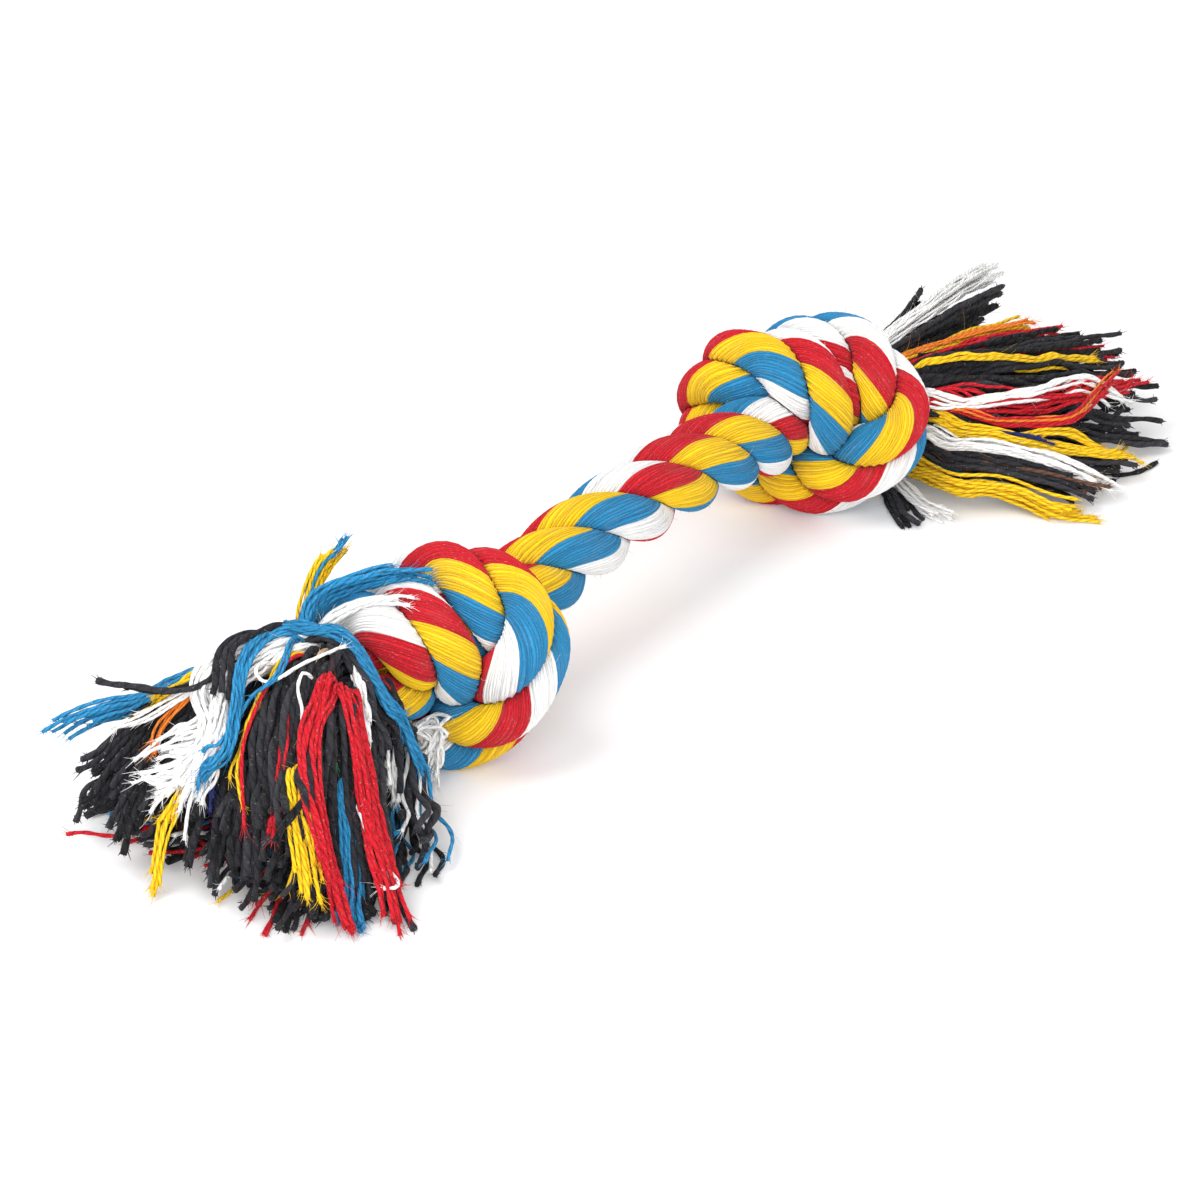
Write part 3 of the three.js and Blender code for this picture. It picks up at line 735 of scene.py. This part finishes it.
FAR_UNDER = [
    ("charcoal", 10, 1, [(108, 8, 27), (143, 10, 24), (177, 12, 19)]),
    ("yellow", 7, 1, [(102, 0, 33), (130, -4, 31), (159, -9, 27)]),
    ("red", 6, 1, [(102, -1, 32), (134, -8, 30), (168, -17, 25)]),
    ("charcoal", 8, 1, [(103, -2, 31), (135, -12, 28), (168, -22, 23)]),
    ("charcoal", 8, 1, [(103, -3, 29), (137, -17, 27), (176, -29, 20)]),
    ("red", 6, 2, [(103, -3, 29), (125, -14, 28), (150, -22, 24), (174, -31, 19)]),
    ("charcoal", 8, 2, [(103, -4, 26), (136, -20, 24), (175, -37, 16)]),
    ("charcoal", 8, 2, [(102, -6, 24), (131, -27, 21), (167, -46, 11)]),
    ("charcoal", 8, 2, [(102, -8, 18), (125, -34, 16), (160, -55, 6)]),
    ("charcoal", 8, 3, [(102, -7, 12), (112, -34, 12), (140, -58, 4)]),
    ("charcoal", 16, 1, [(106, 6, 24), (135, 11, 16), (166, 14, 6)]),
    ("charcoal", 16, 1, [(104, 9, 18), (124, 17, 11), (150, 24, 3)]),
    ("charcoal", 12, 1, [(108, 4, 28), (140, 6, 24), (172, 5, 14)]),
    ("red", 5, 1, [(106, 7, 26), (130, 15, 18), (156, 22, 7)]),
    ("yellow", 4, 1, [(104, 9, 22), (122, 19, 13), (145, 27, 3)]),
    ("blue", 4, 1, [(106, 5, 24), (134, 9, 19), (170, 10, 8)]),
]
FAR_OVER = [
    ("thin white", 34, 1, [(104, 4, 36), (130, 5, 37), (155, 9, 34), (178, 13, 29)]),
    ("charcoal", 5, 1, [(104, 3, 34), (140, 4, 33), (174, 6, 28)]),
    ("charcoal", 4, 1, [(104, 6, 35), (131, 13, 34), (146, 19, 32)]),
    ("navy", 3, 1, [(108, 6, 31), (140, 9, 27), (178, 14, 21)]),
    ("orange", 4, 1, [(102, 0, 33), (131, -5, 31), (158, -11, 26)]),
    ("yellow", 3, 2, [(103, -5, 27), (122, -17, 27), (143, -26, 23), (165, -33, 18)]),
    ("white", 8, 2, [(103, -9, 22), (106, -15, 22), (123, -30, 24), (138, -35, 20), (157, -48, 12)]),
    ("red", 12, 2, [(102, -8, 20), (112, -20, 22), (126, -32, 21), (144, -39, 17), (166, -42, 12)]),
    ("red", 4, 2, [(102, -6, 14), (112, -27, 19), (124, -42, 20), (140, -42, 21), (155, -41, 21)]),
    ("orange", 3, 2, [(102, -6, 15), (113, -29, 20), (126, -43, 21), (142, -41, 22), (155, -40, 22)]),
    ("yellow", 15, 3, [(102, -8, 9), (104, -13, 14), (105, -26, 19), (115, -38, 15), (142, -59, 3)]),
    ("navy", 3, 3, [(102, -8, 9), (105, -24, 18), (112, -36, 18), (121, -48, 13)]),
    ("white", 14, 3, [(101, -4, 8), (102, -14, 12), (104, -29, 17), (116, -45, 11), (124, -60, 3)]),
    ("charcoal", 9, 3, [(102, -5, 6), (103, -29, 12), (113, -47, 8), (121, -60, 2)]),
    ("yellow", 18, 3, [
        (99, -3, 5), (97, -16, 8), (94, -28, 9), (102, -38, 8), (106, -50, 4), (113, -60, 2),
    ]),
    ("brown", 6, 3, [(101, -4, 5), (104, -33, 11), (122, -61, 4)]),
    ("beige", 4, 3, [(101, -4, 6), (106, -32, 13), (126, -60, 4)]),
    ("white", 10, 3, [(98, 0, 5), (92, -12, 4), (87, -22, 3), (86, -33, 2)]),
    ("charcoal", 8, 3, [(98, 0, 3), (90, -11, 3), (82, -20, 2), (78, -27, 2)]),
]


def end_of(name, side):
    """Where a strand ends at one side, and the way out of it."""
    line, _ = STRANDS[name]
    end, before = (line[0], line[3]) if side < 0 else (line[-1], line[-4])
    out = end - before
    return end, out / np.linalg.norm(out)


def guides(end, side):
    """The centre lines of the solids' yarn groups at one end, from the strand outward."""
    lines = {}
    for k in (1, 2, 3):
        for group in GROUPS:
            line = np.array([ring.mean(axis=0) for ring in node_rings(f"tassel_{end}_{k}_{group}")])
            lines[k, group] = line[::side]
    return lines


def disc_point(reach):
    """A random place in a disc."""
    turn = chance.uniform(0, 2 * math.pi)
    return np.array([math.cos(turn), math.sin(turn)]) * reach * math.sqrt(chance.uniform(0, 1))


# The waves of a slack yarn: the run over which they grow, their pitch in mm and their share of the height
WAVE_START = 12 * MM
WAVE_PITCH = (9, 24)
WAVE_SHARE = (0.3, 1.0)


def waved(line, height):
    """A line with the slack waves of an opened yarn."""
    run = along_line(line)
    _, n, b = frames(line)
    grow = np.clip(run / WAVE_START, 0, 1)[:, None]
    for way in (n, b):
        pitch = chance.uniform(*WAVE_PITCH) * MM
        phase = chance.uniform(0, 2 * math.pi)
        wave = height * chance.uniform(*WAVE_SHARE) * np.sin(2 * math.pi * run / pitch + phase)
        line = line + way * grow * wave[:, None]
    return line


# Where yarns start inside a strand and leave it, in mm, and the share in which they turn to their own way
ROOT_DEPTH = 3
LEAVE_AT = 0.5
TURN_SHARE = 0.3
MOST_MIX = 0.5
BODY_SPREAD = 1.2
CHARCOAL_SIZES = (0.75, 1.15)
BODY_WAVE = 0.5 * MM


def fill_yarns(end, side):
    """The body of the tassel: yarns that follow the groups of the solids, spread between them."""
    lines = guides(end, side)
    share = np.linspace(0, 1, len(lines[1, "core"]))[:, None]
    eased = np.clip(share / TURN_SHARE, 0, 1)
    eased = eased * eased * (3 - 2 * eased)
    yarns = []
    for k in (1, 2, 3):
        root, out = end_of(f"strand_{k}", side)
        _, n, b = frames(np.array([root, root + out * MM, root + 2 * out * MM]))
        for group, count in FILL_COUNTS[end].items():
            arch = CORE_ARCH[end] if group == "core" else COLOUR_ARCH[end]
            for _ in range(count):
                colour = "charcoal" if group == "core" else group
                radius = CHARCOAL_R * chance.uniform(*CHARCOAL_SIZES) if group == "core" else COLOUR_R
                first = lines[k, group if group != "core" else GROUPS[chance.integers(len(GROUPS))]]
                second = lines[chance.integers(1, 4), GROUPS[chance.integers(len(GROUPS))]]
                mix = chance.uniform(0, MOST_MIX)
                guide = first * (1 - mix) + second * mix
                x, y = disc_point(STRAND_D / 2 - radius)
                off = n[0] * x + b[0] * y
                away = np.linalg.norm(guide[-1] - root)
                straight = root + off + out * share * away
                length = chance.uniform(*YARN_REACH[end])
                if end == "near" and guide[-1] @ SHORT_WAY > SHORT_FROM:
                    length *= SHORT_SHARE
                opened = root + (guide - root) * length + off * (1 + BODY_SPREAD * share)
                opened[:, 2] += chance.uniform(*arch) * MM * (4 * share * (1 - share))[:, 0]
                opened[:, 2] += chance.uniform(0, TIP_RISE[end]) * MM * share[:, 0] ** 2
                opened[:, 1] = np.where(opened[:, 1] < 0, opened[:, 1] * FRONT_SHARE[end], opened[:, 1])
                line = straight * (1 - eased) + opened * eased
                inside = root + off - out * ROOT_DEPTH * MM
                line = np.vstack([inside, line[0] + out * LEAVE_AT * MM, line[1:]])
                yarns.append((colour, radius, waved(resample(line, NODE_STEP), BODY_WAVE)))
    return yarns


# Locks: where they leave the strand, in mm, their width, how they open, and how their yarns differ
LOCK_LEAVE_AT = 2
LOCK_WIDTH = 1.15
LOCK_SPREAD = 0.8
MIDDLE_SPREAD = 0.2
TIP_SPREAD = 0.9
LOCK_CUT = (0.86, 1.0)
LEAST_NODES = 6
LOCK_SIZES = (0.85, 1.1)
LOCK_WAVE = 0.35 * MM


def lock_yarns(locks, side):
    """Yarns of the listed locks, looser towards the tips, and how far each runs inside the tassel."""
    yarns = []
    hidden = []
    for kind, count, strand, route in locks:
        colour = kind.split()[-1]
        radius = OTHER_RADII.get(kind, COLOUR_R)
        root, out = end_of(f"strand_{strand}", side)
        ends = [root - out * ROOT_DEPTH * MM, root + out * LOCK_LEAVE_AT * MM]
        line = np.vstack([*ends, np.array(route) * MM])
        hidden += [along_line(line)[2]] * count
        line = resample(line, NODE_STEP)
        _, n, b = frames(line)
        share = np.linspace(0, 1, len(line))
        wide = radius * LOCK_WIDTH * math.sqrt(count)
        for _ in range(count):
            x, y = disc_point(wide)
            spread = LOCK_SPREAD + MIDDLE_SPREAD * np.sin(math.pi * share) + TIP_SPREAD * share**3
            own = line + (n * x + b * y) * spread[:, None]
            keep = max(LEAST_NODES, round(len(line) * chance.uniform(*LOCK_CUT)))
            yarns.append((colour, radius * chance.uniform(*LOCK_SIZES), waved(own[:keep], LOCK_WAVE)))
    return yarns, hidden


def near_pairs(points, others, reach):
    """Every point and other point that lie closer than reach, found in a grid of cells of that size."""
    low = np.minimum(points.min(axis=0), others.min(axis=0)) - 2 * reach
    cells = np.floor((points - low) / reach).astype(np.int64)
    homes = np.floor((others - low) / reach).astype(np.int64)
    wide = np.maximum(cells.max(axis=0), homes.max(axis=0)) + 3
    weights = np.array([wide[1] * wide[2], wide[2], 1])
    order = np.argsort(homes @ weights, kind="stable")
    filed = (homes @ weights)[order]
    found = []
    for offset in np.ndindex(3, 3, 3):
        wanted = (cells + np.array(offset) - 1) @ weights
        first = np.searchsorted(filed, wanted)
        count = np.searchsorted(filed, wanted, side="right") - first
        a = np.repeat(np.arange(len(points)), count)
        b = order[np.arange(count.sum()) - np.repeat(np.cumsum(count) - count - first, count)]
        found.append(np.stack([a, b]))
    a, b = np.concatenate(found, axis=1)
    close = ((points[a] - others[b]) ** 2).sum(axis=1) < reach**2
    return a[close], b[close]


def moved_by(pairs, moves, count):
    """The sum of the moves that each point gets."""
    return np.stack([np.bincount(pairs, weights=moves[:, c], minlength=count) for c in range(3)], axis=1)


# How yarns settle: steps, the sag of each step, the nodes held and those that loosen, how hard contacts
# push, how near yarns are looked at as pairs, and the opened end of a strand, which doesn't push
BODY_STEPS = 80
LOCK_STEPS = 35
PAIR_STEPS = 3
SAG = 0.035 * MM
HELD_NODES = 2
LOOSE_NODES = 10
YARN_PUSH = 0.3
ROPE_PUSH = 0.5
STIFFNESS = 0.3
PAIR_REACH = 2.2 * CHARCOAL_R + 0.3 * MM
OPENED_END = 7 * MM


def rope_points():
    """Points along the strands, without their opened ends."""
    cut = round(OPENED_END / COVER_STEP)
    return np.concatenate([line[cut:-cut] for line, _ in STRANDS.values()])


def push_apart(gap, room, strength):
    """The moves, along the gaps, that part pairs which have less than their room."""
    far = np.linalg.norm(gap, axis=1) + 1e-9
    return np.maximum(room - far, 0)[:, None] * gap / far[:, None] * strength


def settle(lines, radii, settle_steps):
    """Yarns pushed off each other, the strands and the floor, with their lengths kept, as they sag."""
    count, most = len(lines), max(len(line) for line in lines)
    plan = np.array([np.vstack([line, np.repeat(line[-1:], most - len(line), axis=0)]) for line in lines])
    live = np.array([np.arange(most) < len(line) for line in lines])
    at = plan.copy()
    steps = np.linalg.norm(np.diff(plan, axis=1), axis=2)
    reach = np.broadcast_to(np.array(radii)[:, None], (count, most))[live]
    yarn = np.broadcast_to(np.arange(count)[:, None], (count, most))[live]
    free = np.broadcast_to(np.arange(most) >= HELD_NODES, (count, most))[live]
    loose = np.clip(np.arange(most) / LOOSE_NODES, 0, 1)[None, :]
    rope = rope_points()
    for step in range(settle_steps):
        points = at[live]
        if step % PAIR_STEPS == 0:
            a, b = near_pairs(points, points, PAIR_REACH)
            apart = yarn[a] < yarn[b]
            a, b = a[apart], b[apart]
            c, d = near_pairs(points, rope, STRAND_D / 2 + CHARCOAL_R)
        push = push_apart(points[a] - points[b], reach[a] + reach[b], YARN_PUSH)
        move = moved_by(a, push, len(points)) - moved_by(b, push, len(points))
        push = push_apart(points[c] - rope[d], reach[c] + STRAND_D / 2, ROPE_PUSH)
        move += moved_by(c, push, len(points))
        at[live] = points + move * free[:, None]
        at[..., 2] -= SAG * loose
        off = at - plan
        after = np.where(live[:, 2:, None], off[:, 2:], off[:, 1:-1])
        off[:, 1:-1] += STIFFNESS * ((off[:, :-2] + after) / 2 - off[:, 1:-1])
        at = plan + off
        at[:, :HELD_NODES] = plan[:, :HELD_NODES]
        for k in range(1, most):
            d_line = at[:, k] - at[:, k - 1]
            size = np.linalg.norm(d_line, axis=1) + 1e-12
            at[:, k] = at[:, k - 1] + d_line * (steps[:, k - 1] / size)[:, None]
        at[..., 2] = np.maximum(at[..., 2], np.array(radii)[:, None])
    return [at[i, : len(line)] for i, line in enumerate(lines)]


# A yarn: from where it counts as thick, its corners, its twist and lobes, how its thickness varies, how its
# tip closes, and how far its lay keeps from the next yarn's
THICK_FROM = COLOUR_R * 1.2
THICK_SIDES = 8
THIN_SIDES = 6
TWIST_RADII = 9
LOBES = 0.12
UNEVEN = 0.10
UNEVEN_PITCHES = (3.1 * MM, 7.3 * MM)
TIP_SHARE = 0.05
SEAM = 0.002


def yarn_tube(line, radius, number):
    """A soft plied yarn of slightly uneven thickness."""
    fine = resample(line, YARN_STEP)
    _, n, b = frames(fine)
    run = along_line(fine)
    around = THICK_SIDES if radius > THICK_FROM else THIN_SIDES
    part = np.arange(around) / around * 2 * math.pi
    twist = 2 * math.pi * run / (radius * TWIST_RADII)
    lobes = 1 + LOBES * np.cos(2 * part[None, :] - twist[:, None])
    short_pitch, long_pitch = UNEVEN_PITCHES
    uneven = 1 + UNEVEN * np.sin(run / short_pitch + number) * np.sin(run / long_pitch + 2 * number)
    r = radius * lobes * uneven[:, None]
    rings = fine[:, None] + ways_out(n, b, part) * r[..., None]
    rings[..., 2] = np.maximum(rings[..., 2], 0)
    rings = np.concatenate([rings, fine[-1] + (rings[-1:] - fine[-1]) * TIP_SHARE])
    lay_u = number + np.linspace(SEAM, 1 - SEAM, around + 1)
    lay_v = np.r_[run, run[-1] + radius] / MM
    return skin(rings, around, lay_u, lay_v)


# Frayed ends of thick and of thin yarns: how far the fibres part, how thick and how long they are, and for
# both the share of that length, where they start, in mm back from the end and in radii across, and their lay
END_FIBRES = 8
FRAY_PARTING = {True: 0.22, False: 0.28}
FRAY_RADIUS = {True: 3 * FIBRE_R, False: 1.4 * FIBRE_R}
FRAY_LENGTH = {True: 2.4 * MM, False: 3.6 * MM}
FRAY_SHARE = (0.5, 1.0)
FRAY_DEPTH = 1.5
FRAY_WIDTH = 0.45
FRAY_CURL = 0.25
FRAY_LAY = 3.0

# Fibres along a yarn: from which node on, how deep they start in radii, how they lean, and lengths in mm
SIDE_FIBRES = 6
SIDE_FROM = 4
SIDE_DEPTH = 0.8
SIDE_LEAN = 0.5
SIDE_LENGTHS = (1.5, 4.5)
SIDE_CURL = 0.4


def frayed_end(line, radius, number):
    """Loose fibres that spread from a yarn's cut end."""
    out = line[-1] - line[-3]
    out /= np.linalg.norm(out)
    thick = bool(radius > THICK_FROM)
    ways = out + chance.normal(0, FRAY_PARTING[thick], (END_FIBRES, 3))
    starts = line[-1] - out * FRAY_DEPTH * MM + chance.normal(0, FRAY_WIDTH, (END_FIBRES, 3)) * radius
    lengths = chance.uniform(*FRAY_SHARE, END_FIBRES) * FRAY_LENGTH[thick]
    numbers, along = np.full(END_FIBRES, number), np.full(END_FIBRES, FRAY_LAY)
    return fibres(starts, ways, lengths, FRAY_RADIUS[thick], numbers, along, FRAY_CURL)


def side_fuzz(line, radius, number):
    """A few fibres that stand off a yarn along its way."""
    i = chance.integers(SIDE_FROM, len(line) - 1, SIDE_FIBRES)
    along = line[i] - line[i - 1]
    along /= np.linalg.norm(along, axis=1)[:, None]
    side = chance.normal(0, 1, (SIDE_FIBRES, 3))
    side /= np.linalg.norm(side, axis=1)[:, None]
    starts = line[i] + side * radius * SIDE_DEPTH
    starts[:, 2] = np.maximum(starts[:, 2], 2 * FUZZ_R)
    lengths = chance.uniform(*SIDE_LENGTHS, SIDE_FIBRES) * MM
    numbers = np.full(SIDE_FIBRES, number)
    return fibres(starts, along + side * SIDE_LEAN, lengths, FUZZ_R, numbers, i * NODE_STEP / MM, SIDE_CURL)


# How locks are lifted onto what lies under them: at most, from how near, and the run over which it starts
MOST_LIFT = {"near": 18 * MM, "far": 6 * MM}
OVER_REACH = 2.2 * MM
LIFT_RUN = 8 * MM
LIFT_SMOOTHING = 4


def laid_over(lines, radii, hidden, body, body_radii, most_lift):
    """Lifts the yarns of the locks onto the body of the tassel, from where each comes out of it."""
    flat = np.array([1, 1, 0])
    tops = np.concatenate(body)
    high = tops[:, 2] + np.repeat(body_radii, [len(line) for line in body])
    points = np.concatenate(lines)
    a, b = near_pairs(points * flat, tops * flat, OVER_REACH)
    under = np.zeros(len(points))
    np.maximum.at(under, a, high[b])
    lifted = []
    start = 0
    for line, radius, inside in zip(lines, radii, hidden):
        need = np.maximum(under[start : start + len(line)] + radius - line[:, 2], 0)
        need = np.minimum(need, most_lift)
        need *= np.clip((along_line(line) - inside) / LIFT_RUN + 0.5, 0, 1)
        for _ in range(LIFT_SMOOTHING):
            need[1:-1] = need[1:-1] / 2 + (need[:-2] + need[2:]) / 4
        lifted.append(line + np.array([0, 0, 1]) * need[:, None])
        start += len(line)
    return lifted


def make_tassel(end, layers, side):
    """All yarns of one tassel, a piece for each colour, in the place of the solids' groups."""
    yarns = fill_yarns(end, side)
    radii = [y[1] for y in yarns]
    lines = settle([y[2] for y in yarns], radii, BODY_STEPS)
    for locks in layers:
        over, hidden = lock_yarns(locks, side)
        over_radii = [y[1] for y in over]
        lines += laid_over([y[2] for y in over], over_radii, hidden, lines, radii, MOST_LIFT[end])
        yarns += over
        radii += over_radii
        lines = settle(lines, radii, LOCK_STEPS)
    pieces = []
    for colour in dict.fromkeys(y[0] for y in yarns):
        tubes = []
        for number, ((own, radius, _), line) in enumerate(zip(yarns, lines)):
            if own != colour:
                continue
            tubes.append(yarn_tube(line, radius, number))
            tubes.append(frayed_end(line, radius, number))
            tubes.append(side_fuzz(line, radius, number))
        slot = YARN_SLOT.get(colour, "yarn_core")
        piece = mesh_object(f"tassel_{end}_{colour}_yarns", *joined(tubes), YARN_COTTON[colour], slot)
        group = "core" if colour == "charcoal" else colour
        if group in GROUPS:
            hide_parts(*[f"tassel_{end}_{k}_{group}" for k in (1, 2, 3)])
        pieces.append(piece)
    return pieces


tassel_pieces = make_tassel("near", [NEAR_UNDER, NEAR_MIDDLE, NEAR_OVER], -1)
tassel_pieces += make_tassel("far", [FAR_UNDER, FAR_OVER], 1)


# The floor's half side in metres, its paper, how far the camera sees it lifted, and the strength of the sky
FLOOR_HALF = 3.0
PAPER = (0.84, 0.84, 0.845, 1)
PAPER_LIFT = 0.10
WORLD_LIGHT = 0.74

# Each lamp's place, size and power
LAMPS = {
    "key_lamp": ((-0.55, 0.25, 1.05), 0.8, 7.0),
    "front_lamp": ((-0.85, -0.70, 0.60), 1.2, 11.0),
}


def make_floor():
    """A pale paper floor, lifted a little towards white where the camera sees it."""
    mesh = bpy.data.meshes.new("floor")
    half = FLOOR_HALF
    corners = [(-half, -half, 0), (half, -half, 0), (half, half, 0), (-half, half, 0)]
    mesh.from_pydata(corners, [], [(0, 1, 2, 3)])
    floor = add_object("floor", mesh)
    material, tree = bare_material("floor_paper")
    seen = tree.nodes.new("ShaderNodeLightPath").outputs["Is Camera Ray"]
    paper = node(tree, "ShaderNodeBsdfDiffuse", {"Color": PAPER})
    glow = maths(tree, "MULTIPLY", seen, PAPER_LIFT)
    lift = node(tree, "ShaderNodeEmission", {"Color": (1, 1, 1, 1), "Strength": glow})
    both = node(tree, "ShaderNodeAddShader", {0: paper.outputs[0], 1: lift.outputs[0]})
    node(tree, "ShaderNodeOutputMaterial", {0: both.outputs[0]})
    mesh.materials.append(material)


def make_lamp(name, place, size, power):
    """A round soft lamp that points at the floor under the middle of the toy."""
    data = bpy.data.lights.new(name, "AREA")
    data.shape = "DISK"
    data.size = size
    data.energy = power
    lamp = add_object(name, data)
    lamp.location = place
    lamp.rotation_euler = (-Vector(place)).to_track_quat("-Z", "Y").to_euler()


def make_world(strength):
    """An even white sky."""
    world = bpy.data.worlds.new("studio")
    world.use_nodes = True
    sky = world.node_tree.nodes["Background"].inputs
    sky["Color"].default_value = (1, 1, 1, 1)
    sky["Strength"].default_value = strength
    bpy.context.scene.world = world


make_floor()
for lamp_name, lamp_values in LAMPS.items():
    make_lamp(lamp_name, *lamp_values)
make_world(WORLD_LIGHT)
bpy.context.scene.view_settings.view_transform = "Standard"
